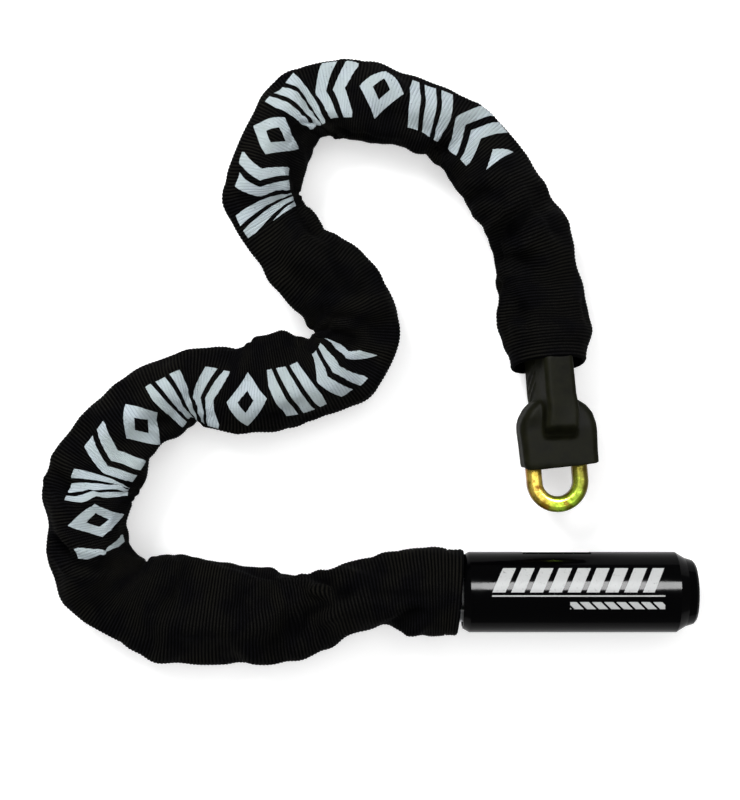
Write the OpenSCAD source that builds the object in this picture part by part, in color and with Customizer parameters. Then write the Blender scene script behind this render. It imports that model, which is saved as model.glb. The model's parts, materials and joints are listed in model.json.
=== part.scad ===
// Bicycle chain lock: a short cylinder lock, a square-bar chain that is fixed to one end of it,
// a rubber boot and a plated end link that enters the lock's side slot.
// X runs along the lock from the chain end to the key end, Y is across it in the plane
// that the chain lies in, and Z is up. The part lies on z = 0.

/* [Lock] */
// Length of the lock over its end cap
lock_len = 101; // [96:1:110]
// Outer diameter of the lock
lock_d = 35; // [34.5:0.1:36]
// Wall of the glossy cover
cover_wall = 1.2; // [1:0.1:1.5]
// Chamfer at the chain end, along the lock
rear_chamfer = 3; // [2:0.5:4]
// Length of the slope towards the end cap
nose_slope = 4; // [3:0.5:5]

/* [Chain] */
// Side of the square bar
bar = 7; // [6.5:0.1:7]
// Rounding of the bar's four edges
bar_round = 2.5; // [2.3:0.1:2.8]
// Inner length of a link
link_pitch = 36; // [36:0.5:38]
// Inner width of a link
link_inner_w = 13; // [12.5:0.1:13]
// Play between two hooked links
link_play = 0.6; // [0.5:0.1:1]
// Turn of the chain at each link, from the lock outwards, in degrees
bends = [-5, 20, -5, -15, -20, -50, -45, -25, -55, 35, 60, 60, -10, -60, -55, -30, -25, -20, -20, 0];

/* [Sleeve] */
// Outer diameter of the sleeve's round core
sleeve_d = 34; // [33:0.5:34.6]
// Thickness of the sleeve's cloth with its folds
sleeve_wall = 2; // [1.5:0.1:2.2]
// Length of the sleeve that each upright link carries
sleeve_len = 22; // [18:1:22]

/* [Boot] */
// Width of the boot around the end link
boot_w = 34.4; // [33:0.2:36]
// Width of the boot's neck
neck_w = 12.4; // [11.5:0.2:13]
// Length of end link that stands out of the boot
link_exposed = 21.4; // [20:0.1:22]

/* [Mechanism] */
// Distance of the side slot's centre from the lock's chain end
slot_x = 41; // [40.5:0.1:41.5]
// Length of the side slot
slot_len = 29; // [28.4:0.1:30]
// Height of the side slot
slot_h = 8.4; // [8:0.1:9]
// Diameter of the pin that anchors the chain
anchor_d = 8; // [7.5:0.1:8]
// Distance of that pin from the lock's chain end
anchor_x = 7; // [6.5:0.1:7.5]
// Radius of the hook's claw, inside
claw_r_in = 5.8; // [5.6:0.1:6.4]
// Radius of the hook's claw, outside
claw_r_out = 12.4; // [12:0.1:12.6]
// Number of locking discs in the key cylinder
disc_count = 7; // [5:1:8]

/* [Hidden] */
$fn = 64;

LINK_NODES = [for (i = [1:21]) str("link_", i < 10 ? "0" : "", i)];
SLEEVE_NODES = [for (i = [1:10]) str("sleeve_", i < 10 ? "0" : "", i)];
LOCK_NODES = [
    "lock_cover", "lock_body", "chain_block", "anchor_pin", "block_pins", "hook", "thrust_washer",
    "retaining_ring", "tailpiece", "key_plug", "locking_discs", "disc_spacers", "sidebar",
    "cylinder_barrel", "barrel_pin", "drill_plate", "cap_gasket", "end_cap", "dust_cover", "cover_pivot"
];

eps = 0.05;

// Chain figures.
crown_r = link_inner_w / 2 + bar / 2;
link_out = link_pitch + 2 * bar;
leg_half = link_pitch / 2 - link_inner_w / 2;
// From a flat link's centre to the hinge in its neighbour's crown, and the spans between hinges.
flat_reach = link_pitch / 2 - bar / 2 - link_play;
anchor_reach = link_pitch / 2 - anchor_d / 2 - link_play;
upright_span = link_pitch + bar;
// The end link sits tight in the boot, so it has less play.
end_play = 0.4;
end_reach = link_pitch / 2 - bar / 2 - end_play;
link_count = len(LINK_NODES);
joint_count = len(bends);

// Joint k is the hinge at the inner end of chain piece k + 1. Odd links lie flat and even ones stand.
function span(k) = k == 0 ? anchor_reach + flat_reach : k % 2 == 1 ? upright_span : 2 * flat_reach;
function heading(k) = k < 0 ? 180 : heading(k - 1) + bends[k];
function dir(a) = [cos(a), sin(a)];
function joint_at(k) = k == 0 ? [anchor_x, 0] : joint_at(k - 1) + span(k - 1) * dir(heading(k - 1));

// Sleeve piece j rides on upright link 2j, and the last one is the hem over the boot's neck.
hem_start = 4;
hem_len = 9;
sleeve_count = len(SLEEVE_NODES);
function sleeve_long(j) = j == sleeve_count ? hem_len : sleeve_len;
function sleeve_start(j) = j == sleeve_count ? hem_start : (upright_span - sleeve_len) / 2;

// Centre of link i along its own joint frame.
function link_centre(i) = i == 1 ? anchor_reach : i == link_count ? upright_span + end_reach
    : i % 2 == 0 ? upright_span / 2 : flat_reach;

// Plan boxes, each a middle and a half size, of the pieces that can reach furthest out.
lock_r = lock_d / 2;
function along(k, d) = joint_at(k) + d * dir(heading(k));
function plan_half(a, half, side) = half * [abs(cos(a)), abs(sin(a))] + side * [abs(sin(a)), abs(cos(a))];
sleeve_boxes = [for (j = [1:sleeve_count]) [
    along(2 * j - 1, sleeve_start(j) + sleeve_long(j) / 2),
    plan_half(heading(2 * j - 1), sleeve_long(j) / 2, sleeve_d / 2)
]];
link_boxes = [for (i = [1:2:joint_count - 1]) [
    along(i - 1, link_centre(i)),
    plan_half(heading(i - 1), leg_half, 0) + (crown_r + bar / 2) * [1, 1]
]];
plan_boxes = concat(sleeve_boxes, link_boxes, [[[lock_len / 2, 0], [lock_len / 2, lock_r]]]);
plan_low = [for (c = [0, 1]) min([for (b = plan_boxes) b[0][c] - b[1][c]])];
plan_high = [for (c = [0, 1]) max([for (b = plan_boxes) b[0][c] + b[1][c]])];
plan_mid = (plan_low + plan_high) / 2;

// Lock figures.
body_r = lock_r - cover_wall - eps;
cap_r = 15;
cap_len = 4.4;
cover_len = lock_len - cap_len;
block_len = 22;
block_x = 0.8;
body_x = block_x + block_len;
chamber_r = 13.2;
chamber_end = 66;
barrel_bore = 11.2;
body_end = cover_len - nose_slope - 0.2;
plug_r = 8;
plug_in_r = 6.6;
plug_x = 67;
plug_end = 95.6;
disc_pitch = 2.6;
disc_t = 1.6;
disc_x = 73;
swing_r = 5.6;
leaf_r = 4;
keyway_hole_r = 3.7;
rest_h = lock_r;

// ---------- placement ----------

// The part's box is centred over the origin, so everything shifts by its plan middle.
module place_lock() {
    translate([-plan_mid.x, -plan_mid.y, rest_h]) children();
}

module place_link_frame(k) {
    place_lock() translate(joint_at(k)) rotate([0, 0, heading(k)]) children();
}

// Turns a shape drawn along +Z so that it runs along +X.
module along_x() {
    rotate([0, 90, 0]) children();
}

module x_disc(r, x0, x1) {
    translate([x0, 0, 0]) along_x() cylinder(r = r, h = x1 - x0);
}

module x_ring(r_out, r_in, x0, x1) {
    difference() {
        x_disc(r_out, x0, x1);
        x_disc(r_in, x0 - 1, x1 + 1);
    }
}

// ---------- chain ----------

module bar_section() {
    flat = bar / 2 - bar_round;
    square([bar, 2 * flat], center = true);
    square([2 * flat, bar], center = true);
    for (x = [-flat, flat], y = [-flat, flat]) translate([x, y]) circle(r = bar_round, $fn = 32);
}

module crown() {
    rotate([0, 0, -90]) rotate_extrude(angle = 180) translate([crown_r, 0]) bar_section();
}

// One link, centred, long along X and flat in the XY plane.
module chain_link() {
    for (side = [0, 180]) rotate([0, 0, side]) {
        translate([leg_half, 0, 0]) crown();
        translate([-leg_half, crown_r, 0]) along_x() linear_extrude(2 * leg_half) bar_section();
    }
}

module placed_link(i) {
    color(i == link_count ? "goldenrod" : "silver")
        place_link_frame(min(i, joint_count) - 1)
            translate([link_centre(i), 0, 0]) rotate([i % 2 == 0 ? 90 : 0, 0, 0]) chain_link();
}

// ---------- sleeve ----------

module placed_sleeve(j) {
    start = sleeve_start(j);
    color("#151515") place_link_frame(2 * j - 1)
        x_ring(sleeve_d / 2, sleeve_d / 2 - sleeve_wall, start, start + sleeve_long(j));
}

// ---------- boot ----------

neck_start = 14;
neck_h = 31;
neck_end = 44;
boot_t = 14.4;
boot_end = upright_span + end_reach + link_out / 2 - link_exposed;
boot_shoulder = 33.5;
boot_foot_w = 32;

module stadium(length, width) {
    hull() for (s = [-1, 1]) translate([s * (length - width) / 2, 0]) circle(d = width);
}

module link_blank(i) {
    translate([link_centre(i), 0, 0]) rotate([i % 2 == 0 ? 90 : 0, 0, 0]) translate([0, 0, -bar / 2])
        linear_extrude(bar) {
            square([2 * leg_half, link_inner_w + 2 * bar], center = true);
            for (s = [-1, 1]) translate([s * leg_half, 0]) circle(r = crown_r + bar / 2);
        }
}

module boot_neck() {
    r = 2.5;
    hull() for (y = [-1, 1], z = [-1, 1])
        translate([neck_start, y * (neck_w / 2 - r), z * (neck_h / 2 - r)]) along_x()
            cylinder(r = r, h = neck_end - neck_start, $fn = 32);
}

// The tongue slopes from the neck's height down to the flat part, over the upright link's end.
module boot_tongue() {
    r = 2.5;
    hull() {
        for (y = [-1, 1], z = [-1, 1])
            translate([neck_end - 4, y * (neck_w / 2 - r), z * (neck_h / 2 - r)]) sphere(r = r, $fn = 24);
        for (y = [-1, 1], z = [-1, 1])
            translate([neck_end + 3, y * (neck_w / 2 - r), z * (boot_t / 2 - 1)]) sphere(r = r, $fn = 24);
    }
}

module boot_body() {
    r = 3;
    shoulder_r = 9;
    hull() {
        for (y = [-1, 1]) {
            translate([boot_shoulder + shoulder_r, y * (boot_w / 2 - shoulder_r), 0]) rotate_extrude($fn = 32)
                intersection() {
                    translate([shoulder_r - r, 0]) scale([r, boot_t / 2]) circle(r = 1, $fn = 24);
                    translate([0, -boot_t]) square([boot_t, 2 * boot_t]);
                }
            for (z = [-1, 1]) translate([boot_end - r, y * (boot_foot_w / 2 - r), z * (boot_t / 2 - r)])
                along_x() cylinder(r = r, h = r, $fn = 24);
        }
    }
}

module grip_ridges() {
    for (k = [0:2], side = [-1, 1]) translate([19 + 4 * k, side * (neck_w / 2 - 0.3), 0])
        rotate([0, 35 * side, 0]) cube([1.4, 1.6, 18], center = true);
}

module boot() {
    color("#1c1c1b") place_link_frame(joint_count - 1) difference() {
        union() {
            boot_neck();
            boot_tongue();
            boot_body();
            grip_ridges();
        }
        link_blank(link_count - 1);
        link_blank(link_count);
    }
}

// ---------- lock shell ----------

rear_drop = 1.7;
slot_margin = 0.3;

module cover_profile(inset) {
    polygon([
        [0, 0], [0, lock_r - rear_drop - inset], [rear_chamfer, lock_r - inset],
        [cover_len - nose_slope, lock_r - inset], [cover_len, cap_r + 0.1 - inset], [cover_len, 0]
    ]);
}

module turned(x_shift = 0) {
    translate([x_shift, 0, 0]) along_x() rotate_extrude() rotate([0, 0, 90]) mirror([0, 1]) children();
}

module slot_opening(margin, depth) {
    w = slot_len + 2 * margin;
    h = slot_h + 2 * margin;
    translate([slot_x - w / 2, 0, -h / 2]) cube([w, depth, h]);
}

module lock_cover() {
    color("#0c0c0d") place_lock() difference() {
        turned() cover_profile(0);
        turned() difference() {
            cover_profile(cover_wall);
            square([block_x, 2 * lock_d], center = true);
        }
        x_disc(body_r, block_x, body_end);
        x_disc(body_r - 1.2, -1, block_x + 1);
        x_disc(cap_r - cover_wall, cover_len - 1, cover_len + 1);
        slot_opening(slot_margin, lock_d);
    }
}

module lock_body() {
    color("#6d7074") place_lock() difference() {
        x_disc(body_r, body_x + eps, body_end);
        x_disc(chamber_r, body_x - 1, chamber_end);
        x_disc(barrel_bore, chamber_end - 1, body_end + 1);
        slot_opening(0, lock_d);
        block_pin_holes();
        barrel_pin_hole();
    }
}

// ---------- chain end ----------

spigot_len = 3;
block_pin_d = 2.4;
block_pin_x = body_x + 1.7;
block_pin_top = body_r - 0.2;
block_pin_foot = 8;

module block_pin_holes() {
    for (s = [-1, 1]) translate([block_pin_x, 0, 0]) rotate([s * 90, 0, 0]) translate([0, 0, block_pin_foot])
        cylinder(d = block_pin_d, h = lock_d);
}

module chain_block() {
    pocket_h = 8.6;
    mouth_w = 31.4;
    color("#7b7e82") place_lock() difference() {
        union() {
            x_disc(body_r, block_x + eps, body_x);
            x_disc(chamber_r - eps, body_x - 1, body_x + spigot_len);
        }
        translate([-1, -mouth_w / 2, -pocket_h / 2]) cube([anchor_x + 1, mouth_w, pocket_h]);
        translate([anchor_x - 1.9, 0, -pocket_h / 2]) cylinder(r = 14.6, h = pocket_h);
        translate([anchor_x, 0, -lock_d]) cylinder(d = anchor_d + 0.02, h = 2 * lock_d);
        block_pin_holes();
    }
}

module anchor_pin() {
    half = 14;
    color("#8c8f93") place_lock() translate([anchor_x, 0, 0]) union() {
        translate([0, 0, -half]) cylinder(d = anchor_d, h = 2 * half);
        for (s = [0, 1]) mirror([0, 0, s]) translate([0, 0, half]) cylinder(d1 = anchor_d, d2 = anchor_d - 1, h = 0.5);
    }
}

module block_pins() {
    color("#8c8f93") place_lock() for (s = [-1, 1]) translate([block_pin_x, 0, 0]) rotate([s * 90, 0, 0])
        translate([0, 0, block_pin_foot]) cylinder(d = block_pin_d - 0.02, h = block_pin_top - block_pin_foot);
}

// ---------- hook ----------

hook_disc_x = [57.4, 64.4];
hook_arm_angle = -133;
claw_half_w = 4.2;
arm_r_in = 7.4;
arm_r_out = 12.75;
claw_lead = 67;
arm_half_angle = 8;
square_d = 5;

// Sector of a ring about X, between two angles measured from +Y towards +Z.
module x_sector(r_in, r_out, a0, a1, x0, x1) {
    translate([x0, 0, 0]) rotate([90, 0, 90]) rotate([0, 0, a0])
        rotate_extrude(angle = a1 - a0) translate([r_in, 0]) square([r_out - r_in, x1 - x0]);
}

module hook() {
    color("#9a9da1") place_lock() difference() {
        union() {
            x_disc(chamber_r - 0.25, hook_disc_x[0], hook_disc_x[1]);
            x_sector(arm_r_in, arm_r_out, hook_arm_angle - arm_half_angle, hook_arm_angle + arm_half_angle,
                slot_x - claw_half_w + 1, hook_disc_x[0] + 1);
            x_sector(claw_r_in, claw_r_out, hook_arm_angle, hook_arm_angle + claw_lead,
                slot_x - claw_half_w, slot_x + claw_half_w);
        }
        translate([hook_disc_x[0] - 1, 0, 0]) along_x() translate([0, 0, 6])
            cube([square_d + 0.1, square_d + 0.1, 12], center = true);
    }
}

module tailpiece() {
    color("#b9bcc0") place_lock() union() {
        translate([59, -square_d / 2, -square_d / 2]) cube([plug_x - 59 + 0.5, square_d, square_d]);
        x_disc(plug_in_r - eps, plug_x + 0.5, plug_x + 3);
    }
}

module thrust_washer() {
    color("#c9a24a") place_lock() x_ring(chamber_r - 0.3, 4, hook_disc_x[1] + 0.1, hook_disc_x[1] + 1.1);
}

// ---------- key cylinder ----------

barrel_x = [68, body_end];
ring_x = [66.3, 67.1];
keyway_w = 2.6;
keyway_h = 7;
sidebar_w = 2.4;
sidebar_x = [disc_x, disc_x + disc_count * disc_pitch];

module keyway_cut(x0, x1) {
    translate([x0, -keyway_w / 2, -keyway_h / 2]) cube([x1 - x0, keyway_w, keyway_h]);
}

module cylinder_barrel() {
    color("#c2a15c") place_lock() difference() {
        x_disc(barrel_bore - 0.02, barrel_x[0], barrel_x[1]);
        x_disc(plug_r + 0.06, barrel_x[0] - 1, barrel_x[1] + 1);
        barrel_pin_hole();
    }
}

barrel_pin_d = 3;
barrel_pin_x = 82;

module barrel_pin_hole() {
    translate([barrel_pin_x, 0, -lock_d]) cylinder(d = barrel_pin_d, h = lock_d - barrel_bore + 2);
}

module barrel_pin() {
    color("#8c8f93") place_lock() translate([barrel_pin_x, 0, -body_r + 0.2])
        cylinder(d = barrel_pin_d - 0.02, h = body_r - barrel_bore + 1.7);
}

module key_plug() {
    color("#d2b26b") place_lock() difference() {
        x_disc(plug_r, plug_x - 1, plug_end);
        x_disc(plug_in_r, plug_x + 0.5, plug_end - 1.4);
        x_disc(keyway_hole_r, plug_end - 2, plug_end + 1);
        translate([plug_x - 2, -square_d / 2 - eps, -square_d / 2 - eps])
            cube([4, square_d + 2 * eps, square_d + 2 * eps]);
        x_ring(plug_r + 1, plug_r - 0.8, ring_x[0] - eps, ring_x[1] + eps);
        translate([sidebar_x[0], -sidebar_w / 2 - eps, 0])
            cube([sidebar_x[1] - sidebar_x[0], sidebar_w + 2 * eps, plug_r + 1]);
    }
}

module retaining_ring() {
    color("#55585c") place_lock() difference() {
        x_ring(10, plug_r - 0.75, ring_x[0], ring_x[1]);
        translate([ring_x[0] - 1, -2.5, -12]) cube([3, 5, 10]);
    }
}

// Each disc has the keyway through it and a gate at the top that the sidebar drops into.
module locking_discs() {
    color("#caa659") place_lock() for (k = [0:disc_count - 1]) difference() {
        x_disc(plug_in_r - 0.08, disc_x + k * disc_pitch, disc_x + k * disc_pitch + disc_t);
        keyway_cut(disc_x - 1, plug_end);
        translate([disc_x - 1, -sidebar_w / 2 - eps, 4.6])
            cube([disc_count * disc_pitch + 2, sidebar_w + 2 * eps, 4]);
    }
}

module disc_spacers() {
    color("#8d9094") place_lock() for (k = [0:disc_count - 1]) difference() {
        x_ring(plug_in_r - 0.05, 5, disc_x + k * disc_pitch + disc_t + 0.1, disc_x + (k + 1) * disc_pitch - 0.1);
        translate([disc_x - 1, -sidebar_w / 2 - eps, 0])
            cube([disc_count * disc_pitch + 2, sidebar_w + 2 * eps, 8]);
    }
}

module sidebar() {
    color("#8d9094") place_lock() translate([sidebar_x[0] + 0.2, -sidebar_w / 2, 4.8])
        cube([sidebar_x[1] - sidebar_x[0] - 0.4, sidebar_w, 2.9]);
}

module drill_plate() {
    color("#a4a7ab") place_lock() difference() {
        x_disc(plug_in_r - eps, sidebar_x[1] + 0.3, plug_end - 1.4);
        keyway_cut(sidebar_x[1], plug_end);
    }
}

// ---------- key end ----------

cap_face_r = 13.6;
recess = 1.3;
recess_r = 12.4;
cap_hole_r = 8.2;
cap_flange_r = cap_r - cover_wall - 0.2;
pivot_d = 2;
leaf_ear_r = 2;

module cap_gasket() {
    color("#202020") place_lock() x_ring(cap_flange_r - 0.2, plug_r + 1, body_end + eps, body_end + 1);
}

// The swing cover is a round leaf with an ear around the pivot above it.
module leaf(x0, x1, r, ear_r) {
    x_disc(r, x0, x1);
    translate([0, 0, swing_r]) x_disc(ear_r, x0, x1);
    translate([x0, -ear_r, 0]) cube([x1 - x0, 2 * ear_r, swing_r]);
}

module end_cap() {
    color("#111112") place_lock() difference() {
        union() {
            x_disc(cap_flange_r, body_end + 1.1, cover_len);
            turned() polygon([
                [cover_len, 0], [cover_len, cap_r], [lock_len - 1, cap_face_r + 0.4],
                [lock_len, cap_face_r - 0.6], [lock_len, 0]
            ]);
        }
        x_disc(cap_hole_r, body_end, plug_end + 0.2);
        x_disc(keyway_hole_r, plug_end, lock_len + 1);
        x_disc(recess_r, lock_len - recess, lock_len + 1);
        translate([0, 0, swing_r]) x_disc(pivot_d / 2, cover_len, lock_len);
    }
}

module dust_cover() {
    color("#2a2a2c") place_lock() difference() {
        leaf(lock_len - recess + 0.1, lock_len - 0.1, leaf_r, leaf_ear_r);
        translate([0, 0, swing_r]) x_disc(pivot_d / 2 + 0.06, cover_len, lock_len + 1);
    }
}

module cover_pivot() {
    color("#8c8f93") place_lock() translate([0, 0, swing_r]) x_disc(pivot_d / 2 - 0.01, cover_len + 0.3, lock_len);
}

// ---------- nodes ----------

lock_cover();
lock_body();
chain_block();
anchor_pin();
block_pins();
hook();
thrust_washer();
retaining_ring();
tailpiece();
key_plug();
locking_discs();
disc_spacers();
sidebar();
cylinder_barrel();
barrel_pin();
drill_plate();
cap_gasket();
end_cap();
dust_cover();
cover_pivot();
boot();
for (i = [1:link_count]) placed_link(i);
for (j = [1:sleeve_count]) placed_sleeve(j);
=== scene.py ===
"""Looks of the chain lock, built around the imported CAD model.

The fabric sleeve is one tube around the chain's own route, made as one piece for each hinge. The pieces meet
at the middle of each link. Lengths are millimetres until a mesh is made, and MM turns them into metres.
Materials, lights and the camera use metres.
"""
import json
import math

import bmesh
import bpy
import numpy as np
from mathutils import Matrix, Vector

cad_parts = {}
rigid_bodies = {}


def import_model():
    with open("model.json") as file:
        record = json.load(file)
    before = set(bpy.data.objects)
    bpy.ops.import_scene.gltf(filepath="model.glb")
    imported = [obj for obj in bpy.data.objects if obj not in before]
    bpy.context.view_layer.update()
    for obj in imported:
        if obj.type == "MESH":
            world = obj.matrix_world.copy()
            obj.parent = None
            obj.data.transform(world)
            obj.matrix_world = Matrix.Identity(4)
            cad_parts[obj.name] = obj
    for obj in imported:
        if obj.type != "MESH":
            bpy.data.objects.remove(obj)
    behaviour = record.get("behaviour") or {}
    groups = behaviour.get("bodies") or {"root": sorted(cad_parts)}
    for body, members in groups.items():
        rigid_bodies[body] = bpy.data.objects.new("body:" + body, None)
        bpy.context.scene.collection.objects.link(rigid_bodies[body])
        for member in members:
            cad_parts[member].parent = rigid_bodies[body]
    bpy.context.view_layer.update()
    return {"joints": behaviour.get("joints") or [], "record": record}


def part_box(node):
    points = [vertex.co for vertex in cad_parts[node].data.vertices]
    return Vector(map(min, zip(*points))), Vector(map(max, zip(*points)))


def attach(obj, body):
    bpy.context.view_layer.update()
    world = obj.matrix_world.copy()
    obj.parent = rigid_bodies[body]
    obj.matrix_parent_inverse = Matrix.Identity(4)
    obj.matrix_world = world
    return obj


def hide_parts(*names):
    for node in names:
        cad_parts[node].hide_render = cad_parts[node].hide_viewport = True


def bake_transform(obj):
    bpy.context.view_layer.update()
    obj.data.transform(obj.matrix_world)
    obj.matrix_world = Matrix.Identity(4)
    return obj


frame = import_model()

MM = 0.001
JOINTS = {j["name"]: j for j in frame["joints"]}
HINGES = [JOINTS[name] for name in sorted(JOINTS) if name.startswith("link_hinge")]
AXIS_Z = HINGES[0]["pos_m"][2] / MM

LOCK_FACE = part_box("lock_cover")[0].x / MM
LOCK_Y = (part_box("end_cap")[0].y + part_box("end_cap")[1].y) / 2 / MM
LOCK_RADIUS = (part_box("lock_cover")[1].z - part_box("lock_cover")[0].z) / 2 / MM

# ---- The chain's links ----
LINK_BAR = 7.0
LINK_BEND = 10.0  # from the centre of a round end to the bar's middle
LINK_STRAIGHT = 11.5  # from the link's middle to that centre
END_LINK_REACH = 27.0  # from the sleeve's end to where the plated link is taken to end

# ---- The sleeve's ribs, hems and seams ----
RIB_PITCH = 1.6
RIB_HEIGHT = 0.32
RIB_ROUND = 0.8
RINGS_PER_RIB = 4
AROUND = 72  # points around each ring
HEM_GAP = 1.5  # between the sleeve and the lock's face
HEM_TUCK_RINGS = 24
HEM_FOLD = 1.5
STITCH_AT = 6.4
STITCH_DEPTH = 0.45
STITCH_HALF_WIDTH = 0.5
END_REACH = 17.0  # how far past the last hinge the sleeve ends
END_TILT = 3.3  # how far that end leans
END_TILT_RUN = 40.0
FIRST_SEAM = 12.5
RUN_ON = 40.0  # how far the route is carried on past both ends
HEADING_REACH = 1.5  # the route's heading is taken over this far to both sides

# ---- The sleeve's section before it is draped ----
COARSE_STEP = 2.4
COARSE_AROUND = 48
WIDEST = 16.5  # the height at which the tube is widest
FLOOR_CLEAR = 0.5
TOP_HEM = 34.0
TOP_UPRIGHT = 33.2
TOP_FLAT = 27.5
TENT_HALF = 12.5  # half the length of a tent's top, over an upright link
DIP_HALF = 3.0
TOP_END = 10.0  # the last tent runs from this far before the end
# Half widths of the slack tube to the left and right of the chain, at distances from the lock.
# A helper script measured them off the photograph every 9 mm. They were rounded, and about 40 % of them
# were then changed.
WIDTHS = [
    (0, 19.5, 17.5), (10, 20.5, 18), (20, 19.5, 17.5), (28, 16.5, 16.5), (37, 12.5, 14.5), (50, 12.5, 14.5),
    (63, 18, 16), (72, 19, 18), (81, 20, 21), (95, 19, 21.5), (117, 21.5, 22.5), (127, 22.5, 23.5),
    (136, 20.5, 23), (145, 16.5, 19), (153, 18, 15.5), (162, 22.5, 13), (171, 20.5, 11.5), (180, 18.5, 13),
    (189, 16.5, 21.5), (198, 16, 24), (208, 17, 24), (217, 16, 23.5), (225, 14.5, 20.5), (234, 15.5, 15),
    (243, 16.5, 13.5), (252, 17, 13), (261, 14.5, 13), (271, 14.5, 15), (279, 18, 15), (288, 25, 15),
    (304, 26.5, 14.5), (315, 25, 14), (324, 20.5, 14), (334, 16, 15), (342, 14.5, 18), (351, 14.5, 20.5),
    (360, 14.5, 21), (369, 15, 20), (378, 15.5, 20), (388, 16.5, 16.5), (396, 15, 13.5), (405, 15, 14),
    (414, 15.5, 15), (432, 14.5, 14.5), (441, 15, 13), (459, 16, 11), (468, 14.5, 12.5), (477, 14.5, 17.5),
    (486, 14.5, 19), (495, 14.5, 19), (504, 14.5, 17.5), (513, 13, 15), (522, 14, 13.5), (531, 13.5, 12),
    (540, 14.5, 15.5), (549, 16, 16), (567, 15, 15.5), (576, 16.5, 14), (585, 16.5, 11.5), (594, 19.5, 14.5),
    (603, 19, 17.5), (612, 18.5, 19), (630, 21, 20.5), (639, 20.5, 18.5), (648, 17, 15.5), (660, 15.5, 14)]
# Folds in the slack cloth: from one (distance, offset to the left) to another, then depth and half width.
# The ends were read off the photograph, and a helper script turned them into these units.
FOLDS = [
    ((124, -21), (129, -8), 2.2, 5.0), ((129, -8), (133, 2), 1.5, 5.0), ((97, -12), (100, 8), 1.0, 5.0),
    ((60, -17), (46, -7), 5.0, 2.6), ((46, -7), (66, -2), 4.5, 2.6), ((66, -2), (84, 12), 3.5, 4.5),
    ((41, -6), (6, 0), 2.6, 2.2), ((34, 13), (18, 7), 3.5, 2.8),
    ((206, 15), (189, -8), 3.4, 2.4), ((184, 15), (172, 5), 3.4, 2.4), ((172, 5), (165, -5), 3.4, 2.4),
    ((186, 4), (178, -8), 1.2, 2.5), ((224, 14), (224, 2), 1.2, 4.0), ((247, -4), (254, -12), 2.0, 2.2),
    ((461, 4), (457, -11), 2.6, 3.5), ((472, -9), (486, -15), 2.0, 2.5), ((445, -10), (408, -12), 2.4, 2.2),
    ((420, -9), (394, -11), 2.2, 2.2), ((388, 7), (373, -12), 2.8, 5.0), ((377, 5), (365, -13), 2.8, 4.0),
    ((353, 11), (350, -1), 3.0, 2.2), ((341, 8), (348, -2), 2.5, 2.2),
    ((533, -14), (543, -7), 2.5, 2.5), ((567, -17), (570, -5), 3.0, 3.0), ((597, -17), (583, 10), 4.5, 3.5),
    ((598, -17), (606, -3), 3.4, 3.0), ((590, -14), (586, 0), 2.6, 2.5), ((628, -17), (630, 17), 1.4, 4.0),
    ((590, 9), (600, 13), 2.5, 3.0), ((637, -18), (645, -11), 2.0, 2.5)]
# Small slack waves: length along and around, phase and height
RIPPLES = [
    (23, 41, 0.4, 0.30), (-31, 29, 1.9, 0.28), (17, -33, 3.1, 0.22), (47, 19, 4.4, 0.25), (13, 26, 5.2, 0.14)]
LINK_COVER = 5.5  # how far to both sides an upright link holds the cloth up
LINK_COVER_FADE = 4.0
LINK_COVER_FOOT = 22.0  # the links hold the cloth up only above this height
LINK_COVER_RISE = 6.0
FOLD_OVER_LINK = 0.3  # the share of a fold's depth that is left there
FOLD_LIMIT = 4.0
FOLD_FOOT = 14.0  # folds set in above this height
FOLD_RISE = 8.0
FOLD_NEAR = 30.0  # a fold touches only cloth this near along the route, so not the next bend's
HEM_FLAT = 6.0  # no folds this near to the ends
HEM_FADE = 10.0
FOLD_SHOULDER = 0.5  # how far the cloth swells beside a fold, as a share of its depth

# ---- The cloth simulation ----
SIM_SCALE = 10.0  # the cloth is simulated ten times as large as it is
SIM_FRAMES = 24
SIM_GAP = 0.008
SIM_FLOOR_HALF = 9.0  # in metres, at that size, as the gap is
SLACK = 0.03
GIRTH_SLACK = 0.02
BULK_BLUR = (5, 4)  # a move that rings and points this far around share is overall sag
BULK_KEPT = 0.4
SLIDE_KEPT = 0.4
MOVE_CAP = 8.0
EASE = 0.6
LINK_CLEAR = 1.0  # between the draped cloth and the chain
CLOTH_CLEAR = 0.6  # the same, once the folds are in

# ---- The sleeve's print ----
PRINT_CELL = 25.0
PRINT_HALF = 13.5
PRINT_TWIST = ((160, -8.0), (560, 6.0))  # the print's middle at two distances, around from the top
PRINT_STRETCHES = ((171.5, 346), (413, 561))
UNDERSIDE = 40.0  # no print lies farther around than this, where the rings close

# ---- The boot ----
NECK_HALF_W = 6.8
NECK_HALF_H = 15.3
FOOT_HALF_T = 7.4
FOOT_END = 60.95  # from the last hinge, just short of the lock when it is closed
BOOT_ROLL = 12.0
BOOT_ASIDE = (0.7, 1.6)  # how far to the left of the chain the neck and the foot lie
BOOT_SKEW = 0.06
BOOT_VOXEL = 0.5
RIDGE_SLANT = 38.0
RIDGE_REACH = 8.0
RIDGE_RADIUS = 0.8
RIDGE_HEIGHT = -5.5
RIDGE_FIRST = 21.0
RIDGE_PITCH = 4.3

# ---- The stage, in metres ----
FLOOR_HALF = 3.0
FLOOR_GLOW = 0.4
CAMERA_PLACE = (0.0004, -0.0169)
CAMERA_HEIGHT = 0.68
PICTURE_HEIGHT = 0.3488  # what the picture's height shows at the chain's middle


def add_object(name, data):
    """A new object in the scene."""
    thing = bpy.data.objects.new(name, data)
    bpy.context.scene.collection.objects.link(thing)
    return thing


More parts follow.
